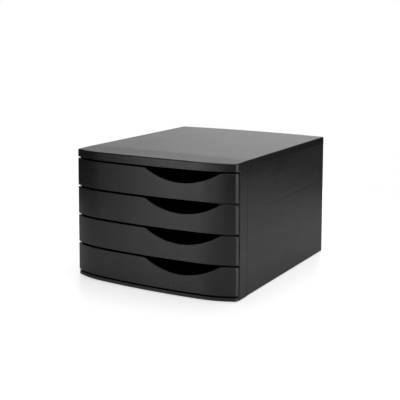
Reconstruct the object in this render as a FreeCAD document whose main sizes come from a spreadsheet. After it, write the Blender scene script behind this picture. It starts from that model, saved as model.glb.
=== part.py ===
import FreeCAD, Part
import math
import os
import re

import Sketcher
from FreeCAD import Vector

# Desk unit with four letter drawers: two moulded side panels carry a top cover, a base plate, a back
# panel and three cross rails, and the drawers slide in channels moulded inside the side panels.
# The fronts, the cover and the base share one bowed plan curve.
#
# Construction frame: x = 0 in the middle, y = 0 at the foremost point of the bow and positive to the
# rear, z = 0 on the desk. Every piece is shifted forwards by half the depth at the end, so that the
# origin lies under the middle of the unit. Millimetres.

# Driving dimensions, one sheet cell each.
SIZES = {
    # whole unit
    "overall_width": 300.0,
    "overall_depth": 365.0,
    "overall_height": 215.0,
    "drawer_count": 4,
    # clearances
    "slide_clearance": 0.3,
    "seat_clearance": 0.3,
    "side_clearance": 0.5,
    # bowed plan curve: a flat middle arc, a tighter arc at each end, and a rounded corner
    "bow_radius": 1075.0,
    "bow_span": 93.0,
    "end_radius": 144.0,
    "corner_radius": 6.5,
    # top cover
    "cover_height": 14.3,
    "cover_wall": 2.5,
    "cover_top": 2.2,
    "cover_crown": 1.4,
    "cover_slope_depth": 57.0,
    "cover_slope_drop": 0.9,
    "cover_edge_radius": 2.5,
    "cover_rear_radius": 5.0,
    "cover_inner_radius": 0.5,
    "cover_rib_width": 1.6,
    "cover_rib_depth": 3.0,
    "cover_rib_count": 4,
    "cover_rib_setback": 40.0,
    # side panels
    "panel_thickness": 3.0,
    "panel_edge_radius": 0.4,
    "stile_width": 24.5,
    "field_recess": 0.8,
    "groove_width": 1.5,
    "groove_depth": 0.8,
    "rear_corner_radius": 3.0,
    "front_to_panel_gap": 3.0,
    "rear_return_width": 12.0,
    "slot_rib_width": 6.0,
    "slot_rib_thickness": 2.0,
    "flange_width": 14.0,
    "flange_thickness": 2.2,
    "tab_thickness": 2.0,
    "tab_length": 40.0,
    "tab_headroom": 3.0,
    "tab_setback": 30.0,
    "tab_bevel": 0.8,
    "tab_count": 3,
    # runner channels inside the side panels
    "runner_width": 7.5,
    "runner_thickness": 2.0,
    "runner_setback": 4.0,
    "lead_in_length": 4.0,
    "lead_in_rise": 1.2,
    "stop_width": 1.8,
    "stop_length": 5.0,
    "drawer_travel": 250.0,
    # cross rails
    "rail_width": 24.0,
    "rail_setback": 8.0,
    "rail_thickness": 2.0,
    "rail_height": 6.0,
    "cheek_thickness": 2.0,
    "cheek_height": 4.0,
    # back panel
    "back_thickness": 2.2,
    # base plate
    "base_height": 5.2,
    "base_setback": 0.8,
    "base_lip_wall": 2.5,
    "base_rib_width": 1.6,
    "base_rib_depth": 1.6,
    "base_rib_count": 4,
    # rubber feet
    "foot_drop": 1.2,
    "foot_width": 14.0,
    "foot_length": 26.0,
    "foot_corner_radius": 3.0,
    "foot_inset_side": 42.0,
    "foot_inset_front": 52.0,
    "foot_inset_rear": 45.0,
    "foot_frame_wall": 1.5,
    "foot_frame_depth": 1.2,
    # drawer fronts
    "drawer_gap": 2.8,
    "front_wall": 2.5,
    "front_return": 0.8,
    "front_edge_bevel": 0.6,
    "gusset_thickness": 1.6,
    "scoop_radius": 119.0,
    "scoop_depth": 18.8,
    "scoop_centre": 61.0,
    "scoop_shoulder": 8.0,
    # snap hooks between a front and its tray
    "hook_width": 8.0,
    "hook_thickness": 2.0,
    "hook_catch": 1.4,
    "hook_tip": 3.0,
    "hook_play": 0.7,
    "hook_level": 10.0,
    "hook_inner": 30.0,
    "hook_outer": 84.0,
    # drawer trays
    "tray_lift": 2.0,
    "tray_headroom": 3.0,
    "tray_wall": 1.8,
    "tray_floor": 2.0,
    "tray_corner_radius": 5.0,
    "tray_scoop_margin": 0.6,
    "tray_rear_gap": 4.0,
    "tray_floor_bevel": 2.0,
    "tray_rib_width": 1.6,
    "tray_rib_depth": 0.8,
    "tray_rib_pitch": 60.0,
    "rim_thickness": 2.0,
    "rim_setback": 4.0,
    "ear_length": 14.0,
}

# Sizes that follow from the driving ones. "inner" faces look towards the middle of the unit.
FORMULAS = {
    "half_width": "overall_width / 2",
    "panel_inner": "half_width - panel_thickness",
    "panel_top": "overall_height - cover_height",
    "panel_height": "panel_top - foot_drop",
    "base_top": "foot_drop + base_height",
    "drawer_pitch": "(panel_top - base_top - drawer_gap) / drawer_count",
    "front_height": "drawer_pitch - drawer_gap",
    # centres of the end arc and of the corner arc of the bowed curve
    "end_centre_x": "bow_span * (1 - end_radius / bow_radius)",
    "end_centre_y": "bow_radius - (bow_radius ^ 2 - bow_span ^ 2) ^ 0.5 * (1 - end_radius / bow_radius)",
    "corner_centre_x": "half_width - corner_radius",
    "corner_run": "((end_radius - corner_radius) ^ 2 - (corner_centre_x - end_centre_x) ^ 2) ^ 0.5",
    "corner_centre_y": "end_centre_y - corner_run",
    "front_back": "corner_centre_y + front_return",
    "panel_front": "front_back + front_to_panel_gap",
    "stile_rear": "panel_front + stile_width",
    "field_face": "half_width - field_recess",
    # the slot for the back panel
    "slot_rear": "overall_depth - cover_wall",
    "slot_front": "slot_rear - back_thickness - 2 * seat_clearance",
    "slot_rib_front": "slot_front - slot_rib_thickness",
    "back_face": "slot_rear - seat_clearance - back_thickness",
    # heights in the cover, from its lower edge
    "cover_ceiling": "cover_height - cover_top - cover_crown - cover_slope_drop",
    # rows of ribs and tabs, spread evenly over the depth
    "cover_rib_pitch": "(tray_rear - panel_front - 2 * cover_rib_setback) / (cover_rib_count - 1)",
    "tab_pitch": "(tray_rear - panel_front - 2 * tab_setback - tab_length) / (tab_count - 1)",
    "base_rib_pitch": "(overall_depth - foot_inset_front - foot_inset_rear) / (base_rib_count + 1)",
    # widths of the moving tray, from the middle outwards
    "tray_half_width": "panel_inner - runner_width - side_clearance",
    "rim_half_width": "panel_inner - stop_width - side_clearance",
    "ear_half_width": "panel_inner - slide_clearance",
    "tray_rear": "back_face - tray_rear_gap",
    "ear_front": "tray_rear - ear_length",
    "stop_rear": "ear_front - drawer_travel - slide_clearance",
    "tray_inset": "front_wall + seat_clearance",
    # heights in a drawer bay, from the lower edge of its front
    "rail_room": "rail_height + runner_thickness + slide_clearance",
    "tray_top": "drawer_pitch + tray_lift - tray_rib_depth - tray_headroom - rail_room",
    "runner_top": "tray_top - rim_thickness - slide_clearance",
    "guide_bottom": "tray_top + slide_clearance",
    "guide_top": "guide_bottom + runner_thickness",
    "rail_front": "panel_front + rail_setback",
}

document = FreeCAD.newDocument("LetterDrawerUnit")
sheet = document.addObject("Spreadsheet::Sheet", "Sizes")
for row, (size_name, size_value) in enumerate(SIZES.items(), start=1):
    sheet.set(f"A{row}", size_name)
    sheet.set(f"B{row}", str(size_value))
    sheet.setAlias(f"B{row}", size_name)
document.recompute()


def cells(formula):
    """The formula with every size named by its sheet cell, as FreeCAD's expressions want it."""
    def replace(match):
        word = match.group(0)
        if word in FORMULAS:
            return f"({cells(FORMULAS[word])})"
        return f"Sizes.{word}" if word in SIZES else word
    return re.sub(r"[a-z][a-z_]+", replace, str(formula))


def value(formula):
    """The number that a formula gives with the sheet as it stands."""
    return float(sheet.evalExpression(cells(formula)))


def bind(item, attribute, formula):
    """Drive one property of an object from the sheet."""
    item.setExpression(attribute, cells(formula))


# ---------------------------------------------------------------- sketches

PLANES = {"XY": "XY_Plane", "XZ": "XZ_Plane", "YZ": "YZ_Plane"}


def new_body(label):
    body = document.addObject("PartDesign::Body", label)
    body.Label = label
    return body


def origin_feature(body, role):
    return next(item for item in body.Origin.OriginFeatures if item.Role == role)


def new_sketch(body, name, plane, level="0"):
    """Sketch on an origin plane of its body, moved along the plane's normal to a level.

    XY sketches look down on x and y and rise along z, YZ sketches show y and z and rise along x.
    XZ sketches show x and z, and their normal points forwards, so their level is minus y.
    """
    sketch = body.newObject("Sketcher::SketchObject", name)
    sketch.AttachmentSupport = [(origin_feature(body, PLANES[plane]), "")]
    sketch.MapMode = "FlatFace"
    bind(sketch, "AttachmentOffset.Base.z", level)
    return sketch


def add_arc(sketch, start, end, radius):
    """Arc from start to end, turning left for a positive radius; gives the ends' vertex numbers."""
    chord = end - start
    rise = math.sqrt(radius ** 2 - (chord.Length / 2) ** 2)
    left = Vector(-chord.y, chord.x, 0).normalize()
    centre = (start + end) * 0.5 + left * math.copysign(rise, radius)
    first, last = (start, end) if radius > 0 else (end, start)
    angles = [math.atan2(point.y - centre.y, point.x - centre.x) for point in (first, last)]
    circle = Part.Circle(centre, Vector(0, 0, 1), abs(radius))
    edge = sketch.addGeometry(Part.ArcOfCircle(circle, angles[0], angles[1]), False)
    return (edge, 1, 2) if radius > 0 else (edge, 2, 1)


def add_loop(sketch, corners):
    """Closed loop through the corners (x, y) or (x, y, radius), all formulas.

    A radius belongs to the arc that leaves its corner: positive turns left, negative turns right.
    Every corner's x and y and every radius is a named constraint that follows the sheet.
    """
    loop = sketch.GeometryCount
    points = [Vector(value(corner[0]), value(corner[1]), 0) for corner in corners]
    edges = []
    for number, corner in enumerate(corners):
        start, end = points[number], points[(number + 1) % len(points)]
        if len(corner) == 3:
            edges.append(add_arc(sketch, start, end, value(corner[2])))
        else:
            edges.append((sketch.addGeometry(Part.LineSegment(start, end), False), 1, 2))
    for (edge, first, last), (following, next_first, _) in zip(edges, edges[1:] + edges[:1]):
        sketch.addConstraint(Sketcher.Constraint("Coincident", edge, last, following, next_first))
    for number, (corner, (edge, first, _)) in enumerate(zip(corners, edges)):
        constrain(sketch, f"x{loop}_{number}", "DistanceX", (-1, 1, edge, first), corner[0])
        constrain(sketch, f"y{loop}_{number}", "DistanceY", (-1, 1, edge, first), corner[1])
        if len(corner) == 3:
            size = corner[2].lstrip("-")
            constrain(sketch, f"r{loop}_{number}", "Radius", (edge,), size)


def constrain(sketch, name, kind, where, formula):
    constraint = Sketcher.Constraint(kind, *where, value(formula))
    constraint.Name = name
    sketch.addConstraint(constraint)
    bind(sketch, f"Constraints.{name}", formula)


def rectangle(x_low, x_high, y_low, y_high):
    return [(x_low, y_low), (x_high, y_low), (x_high, y_high), (x_low, y_high)]


def rectangle_about(x, y, half_x, half_y):
    return rectangle(f"{x} - {half_x}", f"{x} + {half_x}", f"{y} - {half_y}", f"{y} + {half_y}")


def rounded_rectangle(half_x, half_y, corner):
    """Rectangle about the origin with an arc at each corner."""
    return [
        (f"-({half_x} - {corner})", f"-{half_y}"),
        (f"{half_x} - {corner}", f"-{half_y}", corner),
        (half_x, f"-({half_y} - {corner})"),
        (half_x, f"{half_y} - {corner}", corner),
        (f"{half_x} - {corner}", half_y),
        (f"-({half_x} - {corner})", half_y, corner),
        (f"-{half_x}", f"{half_y} - {corner}"),
        (f"-{half_x}", f"-({half_y} - {corner})", corner),
    ]


def bow_half(inset, half_width="half_width", corner="corner_radius"):
    """Right half of the bowed curve, moved inwards by the inset, up to the end of its corner.

    The corner arc joins the end arc to a side face at half_width, both already inset.
    """
    end_radius = f"(end_radius - {inset})"
    centre_x = f"({half_width} - {corner})"
    reach = f"({end_radius} - {corner})"
    run = f"(({reach}) ^ 2 - ({centre_x} - end_centre_x) ^ 2) ^ 0.5"
    junction = f"(bow_radius - {inset})"
    return [
        (f"{junction} * bow_span / bow_radius",
         f"bow_radius - {junction} * (1 - (bow_span / bow_radius) ^ 2) ^ 0.5",
         end_radius),
        (f"end_centre_x + {end_radius} * ({centre_x} - end_centre_x) / {reach}",
         f"end_centre_y - {end_radius} * {run} / {reach}",
         corner),
        (half_width, f"end_centre_y - {run}"),
    ]


def bow_loop(inset, rear, half_width="half_width", corner="corner_radius", rear_corner=None):
    """Plan outline with the bowed curve in front and straight sides running back to the rear."""
    junction, corner_start, side_start = bow_half(inset, half_width, corner)
    if rear_corner is None:
        right_rear = [(half_width, rear)]
        left_rear = [(f"-({half_width})", rear)]
    else:
        right_rear = [(half_width, f"{rear} - {rear_corner}", rear_corner),
                      (f"{half_width} - {rear_corner}", rear)]
        left_rear = [(f"-({half_width} - {rear_corner})", rear, rear_corner),
                     (f"-({half_width})", f"{rear} - {rear_corner}")]
    return (
        [(f"-({junction[0]})", junction[1], f"bow_radius - {inset}")]
        + [junction, corner_start, side_start]
        + right_rear
        + left_rear
        + [(f"-({side_start[0]})", side_start[1], corner)]
        + [(f"-({corner_start[0]})", corner_start[1], junction[2])]
    )


# ---------------------------------------------------------------- features

NORMAL_PLANE = {"x": "YZ", "y": "XZ", "z": "XY"}
cuts = []


def add(body, name, axis, low, high, *loops):
    """Pad of closed loops between two levels along an axis."""
    level = f"-({high})" if axis == "y" else low
    sketch = new_sketch(body, f"{name}Sketch", NORMAL_PLANE[axis], level)
    for corners in loops:
        add_loop(sketch, corners)
    return finish_extrusion(body, "PartDesign::Pad", name, sketch, f"{high} - ({low})")


def remove(body, name, axis, low, high, *loops):
    """Pocket of closed loops between two levels along an axis."""
    level = f"-({low})" if axis == "y" else high
    sketch = new_sketch(body, f"{name}Sketch", NORMAL_PLANE[axis], level)
    for corners in loops:
        add_loop(sketch, corners)
    feature = finish_extrusion(body, "PartDesign::Pocket", name, sketch, f"{high} - ({low})")
    cuts.append(feature)
    return feature


def finish_extrusion(body, kind, name, sketch, length):
    feature = body.newObject(kind, name)
    feature.Profile = sketch
    feature.Type = "Length"
    bind(feature, "Length", length)
    sketch.Visibility = False
    return feature


def repeat(body, name, originals, axis, pitch, count):
    """Copies of the originals in a row along an origin axis."""
    feature = body.newObject("PartDesign::LinearPattern", name)
    feature.Originals = originals
    feature.Direction = (origin_feature(body, axis), [""])
    bind(feature, "Length", f"({pitch}) * ({count} - 1)")
    bind(feature, "Occurrences", count)
    body.Tip = feature
    return feature


def dress_edges(body, kind, name, attribute, size, chosen):
    """Fillet or chamfer on the edges of the body's present shape that the test picks out."""
    document.recompute()
    base = body.Tip
    names = [f"Edge{number}" for number, edge in enumerate(base.Shape.Edges, start=1) if chosen(edge)]
    feature = body.newObject(kind, name)
    feature.Base = (base, names)
    bind(feature, attribute, size)
    return feature


def round_edges(body, name, radius, chosen):
    return dress_edges(body, "PartDesign::Fillet", name, "Radius", radius, chosen)


def bevel_edges(body, name, size, chosen):
    return dress_edges(body, "PartDesign::Chamfer", name, "Size", size, chosen)


def place(item, level="0", x="0", y="0"):
    """Put a piece at its height, with the middle of the depth on the origin."""
    bind(item, "Placement.Base.x", x)
    bind(item, "Placement.Base.y", f"{y} - overall_depth / 2")
    bind(item, "Placement.Base.z", level)
    return item


def is_upright(edge):
    box = edge.BoundBox
    return max(box.XLength, box.YLength) < 1e-3


# ---------------------------------------------------------------- housing

def build_side_panel():
    """Right side panel: stile, groove and recessed field outside, channels and flanges inside."""
    body = new_body("right_side_panel")
    groove_face = "field_face - groove_depth"
    slot_rib_inner = "panel_inner - slot_rib_width"
    return_inner = "panel_inner - rear_return_width"
    groove_rear = "stile_rear + groove_width"
    add(body, "Wall", "z", "0", "panel_height", [
        ("panel_inner", "panel_front"),
        ("half_width - panel_edge_radius", "panel_front", "panel_edge_radius"),
        ("half_width", "panel_front + panel_edge_radius"),
        ("half_width", "stile_rear"),
        (groove_face, "stile_rear"),
        (groove_face, groove_rear),
        ("field_face", groove_rear),
        ("field_face", "overall_depth - rear_corner_radius", "rear_corner_radius"),
        ("field_face - rear_corner_radius", "overall_depth"),
        (return_inner, "overall_depth"),
        (return_inner, "slot_rear"),
        ("panel_inner", "slot_rear"),
        ("panel_inner", "slot_front"),
        (slot_rib_inner, "slot_front"),
        (slot_rib_inner, "slot_rib_front"),
        ("panel_inner", "slot_rib_front"),
    ])
    add(body, "BottomFlange", "z", "0", "flange_thickness",
        rectangle("panel_inner - flange_width", "panel_inner", "panel_front", "slot_rear"))

    bay = "base_height + drawer_gap"
    runner_inner = "panel_inner - runner_width"
    channel_front = "panel_front + runner_setback"
    lead_end = f"{channel_front} + lead_in_length"
    web_front = "tray_rear + slide_clearance"
    web_rear = f"{web_front} + runner_thickness"
    channel = add(body, "Channel", "x", runner_inner, "panel_inner", [
        (channel_front, f"{bay} + runner_top - runner_thickness"),
        (web_rear, f"{bay} + runner_top - runner_thickness"),
        (web_rear, f"{bay} + guide_top"),
        (channel_front, f"{bay} + guide_top"),
        (channel_front, f"{bay} + guide_bottom + lead_in_rise"),
        (lead_end, f"{bay} + guide_bottom"),
        (web_front, f"{bay} + guide_bottom"),
        (web_front, f"{bay} + runner_top"),
        (lead_end, f"{bay} + runner_top"),
        (channel_front, f"{bay} + runner_top - lead_in_rise"),
    ])
    stop = add(body, "DrawerStop", "x", "panel_inner - stop_width", "panel_inner",
               rectangle("stop_rear - stop_length", "stop_rear",
                         f"{bay} + runner_top", f"{bay} + guide_bottom"))
    repeat(body, "Channels", [channel, stop], "Z_Axis", "drawer_pitch", "drawer_count")
    cheek_low = f"{bay} + guide_top"
    cheek_high = f"{cheek_low} + cheek_height"
    rail_rear = "rail_front + rail_width"
    cheeks = add(body, "RailCheek", "x", runner_inner, "panel_inner",
                 rectangle("rail_front - seat_clearance - cheek_thickness",
                           "rail_front - seat_clearance", cheek_low, cheek_high),
                 rectangle(f"{rail_rear} + seat_clearance",
                           f"{rail_rear} + seat_clearance + cheek_thickness", cheek_low, cheek_high))
    repeat(body, "RailCheeks", [cheeks], "Z_Axis", "drawer_pitch", "drawer_count - 1")

    tab_outer = "half_width - cover_wall - seat_clearance"
    tab_inner = f"{tab_outer} - tab_thickness"
    root_outer = "(panel_inner + field_face) / 2"
    tab_root = f"{bay} + (drawer_count - 1) * drawer_pitch + guide_top"
    tab_high = "panel_height + cover_ceiling - tab_headroom"
    tab_front = "panel_front + tab_setback"
    tab = add(body, "CoverTab", "y", tab_front, f"{tab_front} + tab_length", [
        (tab_inner, tab_root),
        (root_outer, tab_root),
        (root_outer, "panel_height"),
        (tab_outer, "panel_height"),
        (tab_outer, f"{tab_high} - tab_bevel"),
        (f"{tab_outer} - tab_bevel", tab_high),
        (tab_inner, tab_high),
    ])
    repeat(body, "CoverTabs", [tab], "Y_Axis", "tab_pitch", "tab_count")
    return place(body, "foot_drop")


def mirror_side_panel(panel):
    """Left side panel: the right one reflected in the middle plane."""
    left = document.addObject("Part::Mirroring", "left_side_panel")
    left.Label = "left_side_panel"
    left.Source = panel
    left.Normal = Vector(1, 0, 0)
    return left


def crown_section(body, y, drop):
    """Section of what lies above the cover's crowned top at one depth."""
    reach = "(half_width + cover_wall)"
    radius = "(half_width ^ 2 + cover_crown ^ 2) / (2 * cover_crown)"
    edge_height = f"cover_height - ({drop}) - ({radius}) + (({radius}) ^ 2 - {reach} ^ 2) ^ 0.5"
    ceiling = "cover_height + cover_wall"
    sketch = new_sketch(body, "CrownSection", "XZ", f"-({y})")
    add_loop(sketch, [
        (f"-{reach}", edge_height, f"-({radius})"),
        (reach, edge_height),
        (reach, ceiling),
        (f"-{reach}", ceiling),
    ])
    return sketch


def build_cover():
    """Top cover: a skirted shell with a crowned top that slopes down gently towards its front lip."""
    body = new_body("top_cover")
    add(body, "Block", "z", "0", "cover_height",
        bow_loop("0", "overall_depth", rear_corner="cover_rear_radius"))
    margin = "cover_wall"
    front_drop = f"cover_slope_drop * (1 + {margin} / cover_slope_depth)"
    front = crown_section(body, f"-{margin}", front_drop)
    crease = crown_section(body, "cover_slope_depth", "0")
    rear = crown_section(body, f"overall_depth + {margin}", "0")
    crown = body.newObject("PartDesign::SubtractiveLoft", "Crown")
    crown.Profile = front
    crown.Sections = [crease, rear]
    crown.Ruled = True
    cuts.append(crown)

    crease_y = value("cover_slope_depth")
    middle = value("cover_height") / 2

    def is_top_rim(edge):
        box = edge.BoundBox
        on_crease = abs(box.YMin - crease_y) < 1e-3 and abs(box.YMax - crease_y) < 1e-3
        return box.ZMin > middle and not on_crease

    round_edges(body, "TopRim", "cover_edge_radius", is_top_rim)
    inner_half = "(half_width - cover_wall)"
    remove(body, "Hollow", "z", "0", "cover_ceiling",
           bow_loop("cover_wall", "overall_depth - cover_wall", inner_half,
                    "(corner_radius - cover_wall)", "cover_inner_radius"))
    rib_half = "panel_inner - rear_return_width"
    rib_front = "panel_front + cover_rib_setback"
    rib = add(body, "Rib", "z", "cover_ceiling - cover_rib_depth", "cover_ceiling",
              rectangle(f"-({rib_half})", rib_half, rib_front, f"{rib_front} + cover_rib_width"))
    repeat(body, "Ribs", [rib], "Y_Axis", "cover_rib_pitch", "cover_rib_count")
    return place(body, "panel_top")


def build_base():
    """Base plate: rests on the side panels' bottom flanges and shows a bowed lip in front."""
    body = new_body("base_plate")
    lip_half = "(half_width - base_setback)"
    lip_corner = "(corner_radius - base_setback)"
    plate_half = "panel_inner - seat_clearance"
    lip_rear = "panel_front - seat_clearance"
    base_rear = "slot_rib_front - seat_clearance"
    add(body, "Plate", "z", "0", "base_height", stepped_loop(
        "base_setback", lip_half, lip_corner,
        [(lip_half, lip_rear), (plate_half, lip_rear), (plate_half, base_rear)]))
    hollow_inset = "(base_setback + base_lip_wall)"
    hollow_half = f"(half_width - {hollow_inset})"
    hollow_corner = f"(corner_radius - {hollow_inset})"
    remove(body, "Underside", "z", "0", "flange_thickness", stepped_loop(
        hollow_inset, hollow_half, hollow_corner,
        [(hollow_half, "panel_front"), ("half_width", "panel_front"), ("half_width", "overall_depth")]))
    rib_half = "panel_inner - flange_width - base_rib_width"
    rib_front = "foot_inset_front + base_rib_pitch - base_rib_width / 2"
    rib = add(body, "Rib", "z", "flange_thickness - base_rib_depth", "flange_thickness",
              rectangle(f"-({rib_half})", rib_half, rib_front, f"{rib_front} + base_rib_width"))
    repeat(body, "Ribs", [rib], "Y_Axis", "base_rib_pitch", "base_rib_count")
    frames = []
    for x, y in FOOT_PLACES.values():
        for margin in ("seat_clearance", "(seat_clearance + foot_frame_wall)"):
            half_x = f"(foot_width / 2 + {margin})"
            half_y = f"(foot_length / 2 + {margin})"
            frames.append(rectangle_about(x, y, half_x, half_y))
    add(body, "FootFrames", "z", "flange_thickness - foot_frame_depth", "flange_thickness", *frames)
    return place(body, "foot_drop")


def stepped_loop(inset, half_width, corner, right_side):
    """Bowed curve in front, then the same stepped outline down the right and the left side."""
    junction, corner_start, side_start = bow_half(inset, half_width, corner)
    left_side = [(f"-({x})", y) for x, y in reversed(right_side)]
    return (
        [(f"-({junction[0]})", junction[1], f"(bow_radius - {inset})")]
        + [junction, corner_start, side_start]
        + right_side
        + left_side
        + [(f"-({side_start[0]})", side_start[1], corner)]
        + [(f"-({corner_start[0]})", corner_start[1], junction[2])]
    )


FOOT_PLACES = {
    "front_left": ("-(half_width - foot_inset_side)", "foot_inset_front"),
    "front_right": ("(half_width - foot_inset_side)", "foot_inset_front"),
    "back_left": ("-(half_width - foot_inset_side)", "(overall_depth - foot_inset_rear)"),
    "back_right": ("(half_width - foot_inset_side)", "(overall_depth - foot_inset_rear)"),
}


def build_foot(place_name, x, y):
    """Rubber foot: a pad with rounded corners, glued in its frame under the base plate."""
    body = new_body(f"foot_{place_name}")
    add(body, "Pad", "z", "0", "foot_drop + flange_thickness",
        rounded_rectangle("foot_width / 2", "foot_length / 2", "foot_corner_radius"))
    return place(body, "0", x, y)


def build_back_panel():
    """Back panel: stands on the bottom flanges in the slots and ends just under the cover's top."""
    body = new_body("back_panel")
    half = "panel_inner - seat_clearance"
    foot = "foot_drop + flange_thickness"
    height = f"panel_top + cover_ceiling - seat_clearance - ({foot})"
    add(body, "Sheet", "y", "back_face", "back_face + back_thickness",
        rectangle(f"-({half})", half, "0", height))
    return place(body, foot)


def build_cross_rail(number):
    """U-shaped rail that lies on the guides of one drawer bay, between the side panels."""
    body = new_body(f"cross_rail_{number}")
    half = "panel_inner - seat_clearance"
    rear = "rail_front + rail_width"
    add(body, "Channel", "x", f"-({half})", half, [
        ("rail_front", "0"),
        (rear, "0"),
        (rear, "rail_height"),
        (f"{rear} - rail_thickness", "rail_height"),
        (f"{rear} - rail_thickness", "rail_thickness"),
        ("rail_front + rail_thickness", "rail_thickness"),
        ("rail_front + rail_thickness", "rail_height"),
        ("rail_front", "rail_height"),
    ])
    return place(body, f"{bay_level(number + 1)} + guide_top")


# ---------------------------------------------------------------- drawers

def bay_level(number):
    """Height of the lower edge of one drawer's front; drawer 1 is the top one."""
    return f"base_top + drawer_gap + (drawer_count - {number}) * drawer_pitch"


def bow_at(x):
    """Depth of the bowed face at a distance from the middle, on its flat middle arc."""
    return f"bow_radius - (bow_radius ^ 2 - ({x}) ^ 2) ^ 0.5"


def front_scoop_loop():
    """Finger scoop: a shallow arc below the top edge with a rounded shoulder at each end."""
    reach = "(scoop_radius + scoop_shoulder)"
    rise = "(scoop_radius - scoop_depth + scoop_shoulder)"
    half_mouth = f"({reach} ^ 2 - {rise} ^ 2) ^ 0.5"
    half_arc = f"{half_mouth} * scoop_radius / {reach}"
    arc_end = f"front_height - scoop_depth + scoop_radius - {rise} * scoop_radius / {reach}"
    above = "front_height + front_wall"
    return [
        (f"scoop_centre - {half_mouth}", "front_height", "-scoop_shoulder"),
        (f"scoop_centre - {half_arc}", arc_end, "scoop_radius"),
        (f"scoop_centre + {half_arc}", arc_end, "-scoop_shoulder"),
        (f"scoop_centre + {half_mouth}", "front_height"),
        (f"scoop_centre + {half_mouth}", above),
        (f"scoop_centre - {half_mouth}", above),
    ]


def gusset_loop(side):
    """Corner web between a front's curved wall and its side return, half sunk in both."""
    centre_line = "(end_radius - front_wall / 2)"
    first = "tray_half_width + side_clearance"
    wall_y = "end_centre_y - ({radius} ^ 2 - (({x}) - end_centre_x) ^ 2) ^ 0.5"
    outer = "half_width - front_wall / 2"
    halfway = "(corner_radius - front_wall / 2) * 0.5 ^ 0.5"
    points = [
        (first, wall_y.format(radius=centre_line, x=first)),
        ("corner_centre_x", wall_y.format(radius=centre_line, x="corner_centre_x")),
        (f"corner_centre_x + {halfway}", f"corner_centre_y - {halfway}"),
        (outer, "corner_centre_y"),
        (outer, "front_back"),
        (first, "front_back"),
    ]
    return [(f"{side} * ({x})", y) for x, y in points]


def build_front(number):
    """Drawer front: a bowed, scooped shell with side returns, a lip under the tray and snap hooks."""
    body = new_body(f"drawer_front_{number}")
    add(body, "Block", "z", "0", "front_height", bow_loop("0", "front_back"))
    remove(body, "Scoop", "y", "-front_wall", "front_back + front_wall", front_scoop_loop())
    rear = value("front_back")

    def is_front_rim(edge):
        box = edge.BoundBox
        return box.YMax < rear - 1e-3 and not is_upright(edge)

    bevel_edges(body, "FrontRim", "front_edge_bevel", is_front_rim)
    remove(body, "Hollow", "z", "tray_lift", "front_height + front_wall",
           bow_loop("front_wall", "front_back + front_wall", "(half_width - front_wall)",
                    "(corner_radius - front_wall)"))
    for level in ("front_height / 3", "2 * front_height / 3"):
        add(body, "Gussets", "z", level, f"{level} + gusset_thickness", gusset_loop(1), gusset_loop(-1))
    for x in HOOK_PLACES:
        root = f"{bow_at(x)} + front_wall / 2"
        barb = f"{bow_at(x)} + tray_inset + tray_wall + hook_play"
        tip = f"{barb} + hook_tip"
        top = "hook_level + hook_thickness"
        add(body, "Hook", "x", f"{x} - hook_width / 2", f"{x} + hook_width / 2", [
            (root, "hook_level"),
            (tip, "hook_level"),
            (tip, top),
            (barb, f"{top} + hook_catch"),
            (barb, top),
            (root, top),
        ])
    return place(body, bay_level(number))


HOOK_PLACES = ("-hook_outer", "-hook_inner", "hook_inner", "hook_outer")


def build_tray(number):
    """Drawer tray: its front wall follows the bowed front, and its rims run in the channels."""
    body = new_body(f"drawer_tray_{number}")
    add(body, "Block", "z", "tray_lift", "tray_top",
        bow_loop("tray_inset", "tray_rear", "tray_half_width", "tray_corner_radius",
                 "tray_corner_radius"))
    rim_front = "front_back + rim_setback"
    add(body, "Rim", "z", "tray_top - rim_thickness", "tray_top", [
        ("-rim_half_width", rim_front),
        ("rim_half_width", rim_front),
        ("rim_half_width", "ear_front"),
        ("ear_half_width", "ear_front"),
        ("ear_half_width", "tray_rear"),
        ("-ear_half_width", "tray_rear"),
        ("-ear_half_width", "ear_front"),
        ("-rim_half_width", "ear_front"),
    ])
    floor = "tray_lift + tray_floor"
    remove(body, "Hollow", "z", floor, "tray_top",
           bow_loop("(tray_inset + tray_wall)", "tray_rear - tray_wall", "(tray_half_width - tray_wall)",
                    "(tray_corner_radius - tray_wall)", "(tray_corner_radius - tray_wall)"))
    floor_level = value(floor)

    def is_floor_edge(edge):
        box = edge.BoundBox
        return abs(box.ZMin - floor_level) < 1e-3 and abs(box.ZMax - floor_level) < 1e-3

    bevel_edges(body, "FloorBevel", "tray_floor_bevel", is_floor_edge)
    arc_radius = "(scoop_radius + tray_scoop_margin)"
    mouth = "(tray_top + tray_wall)"
    half_mouth = f"({arc_radius} ^ 2 - (front_height - scoop_depth + scoop_radius - {mouth}) ^ 2) ^ 0.5"
    remove(body, "Scoop", "y", "0", "front_back", [
        (f"scoop_centre - {half_mouth}", mouth, arc_radius),
        (f"scoop_centre + {half_mouth}", mouth),
    ])
    half_slot = "(hook_width / 2 + seat_clearance)"
    slots = [
        rectangle(f"{x} - {half_slot}", f"{x} + {half_slot}",
                  "hook_level - seat_clearance", "hook_level + hook_thickness + seat_clearance")
        for x in HOOK_PLACES
    ]
    remove(body, "HookSlots", "y", "0", "front_back", *slots)
    ribs = [
        rectangle(f"{step} * tray_rib_pitch - tray_rib_width / 2",
                  f"{step} * tray_rib_pitch + tray_rib_width / 2",
                  "front_back + rim_setback", "tray_rear - tray_corner_radius")
        for step in (-1, 0, 1)
    ]
    add(body, "FloorRibs", "z", "tray_lift - tray_rib_depth", "tray_lift", *ribs)
    return place(body, bay_level(number))


# ---------------------------------------------------------------- assembly

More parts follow.
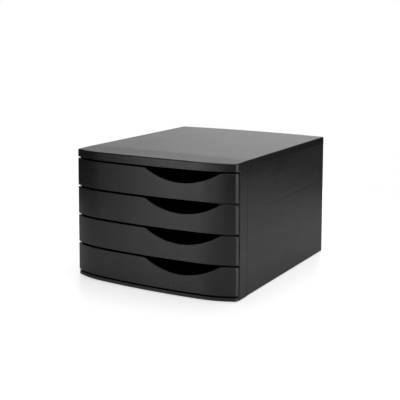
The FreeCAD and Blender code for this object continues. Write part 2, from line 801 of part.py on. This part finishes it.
def build_unit():
    """Every piece of the unit, housing first."""
    drawer_count = round(value("drawer_count"))
    right_panel = build_side_panel()
    pieces = [right_panel, mirror_side_panel(right_panel), build_cover(), build_base(), build_back_panel()]
    pieces += [build_cross_rail(number) for number in range(1, drawer_count)]
    pieces += [build_foot(name, x, y) for name, (x, y) in FOOT_PLACES.items()]
    for number in range(1, drawer_count + 1):
        pieces += [build_front(number), build_tray(number)]
    return pieces


def check(pieces):
    """Stop on anything that failed to build, that is no single solid, or that cut nothing."""
    failed = [item.Name for item in document.Objects if "Invalid" in item.State or "Error" in item.State]
    for feature in cuts:
        if feature.Shape.Volume > feature.BaseFeature.Shape.Volume - 1e-3:
            failed.append(f"{feature.Name} cuts nothing")
    for piece in pieces:
        shape = piece.Shape
        if shape.isNull() or not shape.isValid() or len(shape.Solids) != 1:
            failed.append(piece.Label)
    if failed:
        raise RuntimeError(f"not built: {failed}")


def write(pieces):
    os.makedirs("parts", exist_ok=True)
    for piece in pieces:
        piece.Shape.exportStep(f"parts/{piece.Label}.step")


unit = build_unit()
document.recompute()
check(unit)
write(unit)
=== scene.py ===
import math

import bmesh
import bpy
from mathutils import Matrix, Vector

# Desk unit with four letter drawers in black moulded plastic, on a white studio floor.
# Metres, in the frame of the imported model: x to the unit's right, y to its rear, z up from the desk.

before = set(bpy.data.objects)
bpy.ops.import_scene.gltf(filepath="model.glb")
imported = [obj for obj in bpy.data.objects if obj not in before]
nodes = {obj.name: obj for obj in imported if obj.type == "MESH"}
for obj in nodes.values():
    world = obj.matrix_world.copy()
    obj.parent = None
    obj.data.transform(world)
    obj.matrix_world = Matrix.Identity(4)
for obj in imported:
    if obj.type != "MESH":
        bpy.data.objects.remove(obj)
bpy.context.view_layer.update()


# ---------------------------------------------------------------- node tree helpers

def add_node(tree, kind, inputs=None, **settings):
    """New node with its settings, and its inputs set to numbers or linked to other nodes' outputs."""
    node = tree.nodes.new(kind)
    for name, setting in settings.items():
        setattr(node, name, setting)
    for name, source in (inputs or {}).items():
        socket = node.inputs[name]
        if isinstance(source, bpy.types.NodeSocket):
            tree.links.new(source, socket)
        else:
            socket.default_value = source
    return node


def math_node(tree, operation, first, second=0.0, third=0.0):
    return add_node(tree, "ShaderNodeMath", {0: first, 1: second, 2: third}, operation=operation).outputs[0]


def product(tree, first, *factors):
    """First times each of the factors in turn."""
    for factor in factors:
        first = math_node(tree, "MULTIPLY", first, factor)
    return first


def remap(tree, source, low, high, to_low, to_high, smooth=False):
    """Source moved from one range to another, held at the ends."""
    node = add_node(tree, "ShaderNodeMapRange", {
        "Value": source, "From Min": low, "From Max": high, "To Min": to_low, "To Max": to_high})
    node.interpolation_type = "SMOOTHSTEP" if smooth else "LINEAR"
    node.clamp = True
    return node.outputs["Result"]


def noise(tree, place, scale, detail=2.0, roughness=0.5):
    return add_node(tree, "ShaderNodeTexNoise", {
        "Vector": place, "Scale": scale, "Detail": detail, "Roughness": roughness}).outputs["Fac"]


def stretched(tree, place, scale):
    return add_node(tree, "ShaderNodeMapping", {"Vector": place, "Scale": scale}).outputs["Vector"]


def band(tree, coordinate, centre, half_width):
    """1 on a line across the surface, fading to 0 at half_width from it."""
    away = math_node(tree, "ABSOLUTE", math_node(tree, "SUBTRACT", coordinate, centre))
    return remap(tree, away, 0.0, half_width, 1.0, 0.0, smooth=True)


def new_material(name):
    """Material with its node tree, its shader and the object's own coordinates."""
    material = bpy.data.materials.new(name)
    material.use_nodes = True
    tree = material.node_tree
    place = add_node(tree, "ShaderNodeTexCoord").outputs["Object"]
    return material, tree, tree.nodes["Principled BSDF"], place


def paint_grey(tree, shader, shade):
    tint = add_node(tree, "ShaderNodeCombineColor", {"Red": shade, "Green": shade, "Blue": shade})
    tree.links.new(tint.outputs["Color"], shader.inputs["Base Color"])


# ---------------------------------------------------------------- materials

# Changes of roughness
WEAR_POLISH = -0.10
TOUCH_POLISH = -0.04
CARRY_POLISH = -0.13
DUST_DULLNESS = 0.15

EDGE_RADIUS = 0.0003  # how far the edge rounding, its wear and its painted highlight reach
DUST_SHADE = 0.012
SPECULAR = 0.5

# Sink marks: half width, height in grain heights, and the y ranges over which they fade in and out
SINK_HALF_WIDTH = 0.0042
SINK_HEIGHT = -2.8
SINK_FRONT = (-0.122, -0.095)
SINK_REAR = (0.140, 0.172)

CARRY_FADE = (0.0, 0.17)  # y range over which the carried zone's polish fades out rearwards
DULL_FADE = (0.055, 0.008)  # the dull zone clears between these distances in front of its rear end


def moulded_plastic(name, colour, roughness, streaks, grain=0.00065, grain_height=0.000035, uneven=0.02,
                    sinks=(), groove=None, dull=None, handled=None, upright=0.0, carried=None):
    """Black moulded plastic with an eroded grain, flow streaks, edges lightened partly by wear and partly
    by a painted highlight, and a little dust.

    streaks stretches the flow pattern along the way the melt ran, uneven is how far the roughness
    wanders, sinks are heights of faint sink marks opposite inner ribs, groove is the (y, half width)
    of an upright groove where the specular level is cut to a painted shade line, dull is (rear end,
    extra roughness) of a front zone that starts duller and clears towards the lip, handled is the
    (centre, radius) of a spot that fingers have polished, upright is added to the roughness of upright
    faces, and carried is the (level, reach below) of an upper zone that hands have polished towards the
    front.
    """
    material, tree, shader, place = new_material(name)
    shader.inputs["IOR"].default_value = 1.5
    geometry = add_node(tree, "ShaderNodeNewGeometry")
    across = add_node(tree, "ShaderNodeSeparateXYZ", {"Vector": place})
    rearward, upwards = across.outputs["Y"], across.outputs["Z"]

    fine = noise(tree, place, 1.0 / grain, detail=2.0, roughness=0.6)
    cells = add_node(tree, "ShaderNodeTexVoronoi", {"Vector": place, "Scale": 0.7 / grain})
    pits = remap(tree, cells.outputs["Distance"], 0.0, 0.7, 0.0, 1.0, smooth=True)
    grain_field = math_node(tree, "MULTIPLY_ADD", pits, 0.5, math_node(tree, "MULTIPLY", fine, 0.5))
    mottle = noise(tree, place, 18.0, detail=5.0, roughness=0.6)
    flow = noise(tree, stretched(tree, place, streaks), 4.0, detail=4.0, roughness=0.55)

    rounded = add_node(tree, "ShaderNodeBevel", {"Radius": EDGE_RADIUS}, samples=6)
    turn = add_node(tree, "ShaderNodeVectorMath", {
        0: rounded.outputs["Normal"], 1: geometry.outputs["Normal"]}, operation="DOT_PRODUCT")
    edge = remap(tree, turn.outputs["Value"], 0.995, 0.86, 0.0, 1.0)
    # mask of the edges, carrying both their wear and a painted edge highlight
    wear_and_edge_highlight = product(tree, edge, remap(tree, mottle, 0.35, 0.65, 0.35, 1.0))
    facing_up = add_node(tree, "ShaderNodeSeparateXYZ", {"Vector": geometry.outputs["Normal"]}).outputs["Z"]
    specks = remap(tree, noise(tree, place, 900.0, detail=1.0), 0.6, 0.8, 0.0, 1.0)
    dust = product(tree, remap(tree, facing_up, 0.5, 1.0, 0.0, 1.0), specks)

    height = grain_field
    if sinks:
        marks = 0.0
        for level in sinks:
            marks = math_node(tree, "ADD", band(tree, upwards, level, SINK_HALF_WIDTH), marks)
        marks = product(tree, marks, remap(tree, flow, 0.35, 0.6, 0.0, 1.0),
                        remap(tree, rearward, *SINK_FRONT, 0.0, 1.0),
                        remap(tree, rearward, *SINK_REAR, 1.0, 0.0))
        height = math_node(tree, "MULTIPLY_ADD", marks, SINK_HEIGHT, height)
    wave = remap(tree, noise(tree, place, 9.0, detail=1.0), 0.0, 1.0, -1.0, 1.0)
    bump = add_node(tree, "ShaderNodeBump", {
        "Height": math_node(tree, "ADD", height, wave), "Distance": grain_height, "Strength": 1.0,
        "Normal": rounded.outputs["Normal"]})

    matt = math_node(tree, "ADD", remap(tree, mottle, 0.3, 0.7, -uneven, uneven), roughness)
    matt = math_node(tree, "ADD", matt, remap(tree, flow, 0.3, 0.7, -uneven, uneven))
    matt = math_node(tree, "MULTIPLY_ADD", wear_and_edge_highlight, WEAR_POLISH, matt)
    matt = math_node(tree, "MULTIPLY_ADD", dust, DUST_DULLNESS, matt)
    if upright:
        matt = math_node(tree, "ADD", remap(tree, facing_up, 0.2, 0.6, upright, 0.0), matt)
    if carried:
        level, reach = carried
        held = product(tree, remap(tree, upwards, level - reach, level, 0.0, 1.0),
                       remap(tree, rearward, *CARRY_FADE, 1.0, -0.4))
        matt = math_node(tree, "MULTIPLY_ADD", held, CARRY_POLISH, matt)
    if dull:
        rear_end, extra = dull
        in_zone = remap(tree, rearward, rear_end - 0.001, rear_end + 0.001, extra, 0.0)
        far, near = DULL_FADE
        forward = remap(tree, rearward, rear_end - far, rear_end - near, -0.1, 1.0)
        matt = math_node(tree, "MULTIPLY_ADD", in_zone, forward, matt)
    if handled:
        centre, radius = handled
        away = add_node(tree, "ShaderNodeVectorMath", {0: place, 1: centre}, operation="DISTANCE")
        touch = remap(tree, away.outputs["Value"], radius, 0.3 * radius, 0.0, 1.0, smooth=True)
        touch = product(tree, touch, remap(tree, noise(tree, place, 55.0), 0.4, 0.6, 0.3, 1.0))
        matt = math_node(tree, "MULTIPLY_ADD", touch, TOUCH_POLISH, matt)

    shade = product(tree, remap(tree, mottle, 0.3, 0.7, 0.9, 1.1), colour)
    # edges lighter in colour, partly as wear and partly as a painted highlight along them
    shade = math_node(tree, "MULTIPLY_ADD", wear_and_edge_highlight, 0.8 * colour, shade)
    shade = math_node(tree, "MULTIPLY_ADD", dust, DUST_SHADE, shade)
    # painted shade: the specular level falls to nothing along the groove, so it reads as a dark line
    if groove:
        centre, half_width = groove
        painted_groove_shade = band(tree, rearward, centre, half_width)
        tree.links.new(math_node(tree, "MULTIPLY_ADD", painted_groove_shade, -SPECULAR, SPECULAR),
                       shader.inputs["Specular IOR Level"])
    paint_grey(tree, shader, shade)
    tree.links.new(matt, shader.inputs["Roughness"])
    tree.links.new(bump.outputs["Normal"], shader.inputs["Normal"])
    return material


def rubber(name):
    """Matt black rubber with a fine grain and greyish scuffs."""
    material, tree, shader, place = new_material(name)
    scuffs = remap(tree, noise(tree, place, 260.0, detail=4.0), 0.5, 0.7, 0.0, 1.0)
    paint_grey(tree, shader, remap(tree, scuffs, 0.0, 1.0, 0.012, 0.035))
    tree.links.new(remap(tree, scuffs, 0.0, 1.0, 0.75, 0.9), shader.inputs["Roughness"])
    bump = add_node(tree, "ShaderNodeBump", {
        "Height": noise(tree, place, 2200.0, detail=3.0), "Distance": 0.00004, "Strength": 1.0})
    tree.links.new(bump.outputs["Normal"], shader.inputs["Normal"])
    return material


BAY_LEVELS = (0.1528, 0.1050, 0.0571, 0.0092)  # lower edges of the four fronts, top one first
SINK_RISE = 0.0302  # from a front's lower edge up to the sink mark beside it
GROOVE = (-0.1282, 0.0028)  # y and half width of the upright groove behind the side panel's stile
CARRY_ZONE = (0.2007, 0.034)  # the side panel's top and how far the polish reaches below it
CREASE = -0.1255  # where the cover starts to slope down to its front lip
SCOOP = (0.061, -0.178, 0.030)  # bottom middle of a finger scoop, from its front's lower edge
TOUCH_RADIUS = 0.055

surfaces = {
    "cover_plastic": moulded_plastic("cover_plastic", 0.009, 0.38, (5.0, 1.2, 5.0), uneven=0.006,
                                     dull=(CREASE, 0.018), upright=-0.10),
    "panel_plastic": moulded_plastic("panel_plastic", 0.009, 0.42, (5.0, 1.0, 7.0), uneven=0.03,
                                     groove=GROOVE, carried=CARRY_ZONE,
                                     sinks=[level + SINK_RISE for level in BAY_LEVELS]),
    "base_plastic": moulded_plastic("base_plastic", 0.010, 0.46, (2.0, 2.0, 6.0)),
    "inner_plastic": moulded_plastic("inner_plastic", 0.010, 0.52, (1.5, 5.0, 5.0)),
    "tray_plastic": moulded_plastic("tray_plastic", 0.010, 0.50, (4.0, 1.2, 4.0)),
    "foot_rubber": rubber("foot_rubber"),
}


def dress(name, material):
    for slot in nodes[name].material_slots:
        slot.material = material


for name in nodes:
    if name.startswith("drawer_front_"):
        number = int(name.rsplit("_", 1)[1])
        level = BAY_LEVELS[number - 1]
        dress(name, moulded_plastic(f"front_plastic_{number}", 0.009, 0.29, (1.2, 3.0, 5.0), uneven=0.008,
                                    grain_height=0.000022,
                                    handled=(Vector(SCOOP) + Vector((0, 0, level)), TOUCH_RADIUS)))
    elif name.startswith("drawer_tray_"):
        dress(name, surfaces["tray_plastic"])
    elif name.startswith("foot_"):
        dress(name, surfaces["foot_rubber"])
    elif name.startswith("cross_rail_") or name == "back_panel":
        dress(name, surfaces["inner_plastic"])
    elif name.endswith("_side_panel"):
        dress(name, surfaces["panel_plastic"])
    elif name == "base_plate":
        dress(name, surfaces["base_plastic"])
    elif name == "top_cover":
        dress(name, surfaces["cover_plastic"])


# ---------------------------------------------------------------- floor, world and lamps

FLOOR_RADIUS = 0.75
FLOOR_SEEN_GLOW = 0.62  # what the camera sees added to the light on the paper
FLOOR_MIRRORED_GLOW = 0.12

WALL_LEVEL = 0.02

# towards, sharpness, strength
WALLS = (
    ((-0.32, 0.94, 0.12), 40.0, 1.72),
    ((-0.56, 0.82, 0.12), 25.0, 1.04),
    ((0.80, 0.60, 0.05), 30.0, 0.30),
    ((-0.36, -0.93, 0.03), 20.0, 0.95),
    ((-0.40, -0.91, 0.10), 60.0, 5.70),
    ((0.05, -0.98, -0.17), 60.0, 0.90),
    ((0.80, -0.58, -0.17), 60.0, 3.40),
)

# name, place, size (width, height), watts
LAMPS = (
    ("fill_strip", (2.10, -0.20, 0.35), (0.4, 0.6), 24.0),
    ("top_softbox", (0.10, 0.20, 2.40), (1.8, 1.8), 33.0),
)
LAMP_AIM = (0.0, 0.0, 0.1)


def build_floor():
    """Round sheet of pale paper that keeps the unit's shadow."""
    mesh = bpy.data.meshes.new("studio_floor")
    shape = bmesh.new()
    bmesh.ops.create_circle(shape, cap_ends=True, segments=96, radius=FLOOR_RADIUS)
    shape.to_mesh(mesh)
    shape.free()
    floor = bpy.data.objects.new("studio_floor", mesh)
    bpy.context.scene.collection.objects.link(floor)
    material, tree, shader, place = new_material("studio_paper")
    shader.inputs["Roughness"].default_value = 0.35
    shader.inputs["Specular IOR Level"].default_value = 0.6
    paint_grey(tree, shader, remap(tree, noise(tree, place, 14.0, detail=4.0), 0.0, 1.0, 0.78, 0.80))
    path = add_node(tree, "ShaderNodeLightPath")
    glow = product(tree, path.outputs["Is Camera Ray"], FLOOR_SEEN_GLOW)
    glow = math_node(tree, "MULTIPLY_ADD", path.outputs["Is Glossy Ray"], FLOOR_MIRRORED_GLOW, glow)
    shader.inputs["Emission Color"].default_value = (1, 1, 1, 1)
    tree.links.new(glow, shader.inputs["Emission Strength"])
    mesh.materials.append(material)


def lobe(tree, direction, towards, sharpness, strength):
    """Soft bright patch of the studio's walls around one direction."""
    facing = add_node(tree, "ShaderNodeVectorMath", {0: direction, 1: Vector(towards).normalized()},
                      operation="DOT_PRODUCT").outputs["Value"]
    facing = math_node(tree, "MAXIMUM", facing, 0.0)
    return product(tree, math_node(tree, "POWER", facing, sharpness), strength)


def build_world():
    """White for the camera; a dim room with soft bright patches all around for everything else."""
    world = bpy.data.worlds.new("studio")
    bpy.context.scene.world = world
    world.use_nodes = True
    tree = world.node_tree
    tree.nodes.clear()
    direction = add_node(tree, "ShaderNodeTexCoord").outputs["Generated"]
    walls = WALL_LEVEL
    for towards, sharpness, strength in WALLS:
        walls = math_node(tree, "ADD", lobe(tree, direction, towards, sharpness, strength), walls)
    path = add_node(tree, "ShaderNodeLightPath")
    seen = math_node(tree, "MAXIMUM", path.outputs["Is Camera Ray"], path.outputs["Is Transmission Ray"])
    strength = add_node(tree, "ShaderNodeMix", {"Factor": seen, "A": walls, "B": 1.0}, data_type="FLOAT")
    background = add_node(tree, "ShaderNodeBackground", {
        "Color": (1, 1, 1, 1), "Strength": strength.outputs["Result"]})
    output = add_node(tree, "ShaderNodeOutputWorld")
    tree.links.new(background.outputs["Background"], output.inputs["Surface"])


def build_lamps():
    """Area lamps aimed at the unit."""
    for name, place, (width, height), watts in LAMPS:
        light = bpy.data.lights.new(name, "AREA")
        light.shape = "RECTANGLE"
        light.size = width
        light.size_y = height
        light.energy = watts
        lamp = bpy.data.objects.new(name, light)
        bpy.context.scene.collection.objects.link(lamp)
        lamp.location = place
        lamp.rotation_euler = (Vector(LAMP_AIM) - Vector(place)).to_track_quat("-Z", "Y").to_euler()


# ---------------------------------------------------------------- camera

CAMERA_PLACE = (0.7345, -1.2968, 0.4298)
CAMERA_YAW = 0.5201
CAMERA_PITCH = -0.1066
CAMERA_ROLL = -0.0029
SENSOR_WIDTH = 36.0
LENS = 78.03
SHIFT_UP = -0.2239
CLIP_END = 40.0


def build_camera():
    """Stands in front of the unit's right corner and looks a little down, with the lens shifted."""
    data = bpy.data.cameras.new("camera")
    data.sensor_width = SENSOR_WIDTH
    data.lens = LENS
    data.shift_y = SHIFT_UP
    data.clip_end = CLIP_END
    camera = bpy.data.objects.new("camera", data)
    bpy.context.scene.collection.objects.link(camera)
    turn = (Matrix.Rotation(CAMERA_YAW, 4, "Z") @ Matrix.Rotation(CAMERA_PITCH, 4, "X")
            @ Matrix.Rotation(CAMERA_ROLL, 4, "Y"))
    level_view = Matrix.Rotation(math.pi / 2, 4, "X")
    camera.matrix_world = Matrix.Translation(CAMERA_PLACE) @ turn @ level_view
    bpy.context.scene.camera = camera


build_floor()
build_world()
build_lamps()
build_camera()
bpy.context.scene.view_settings.view_transform = "Standard"
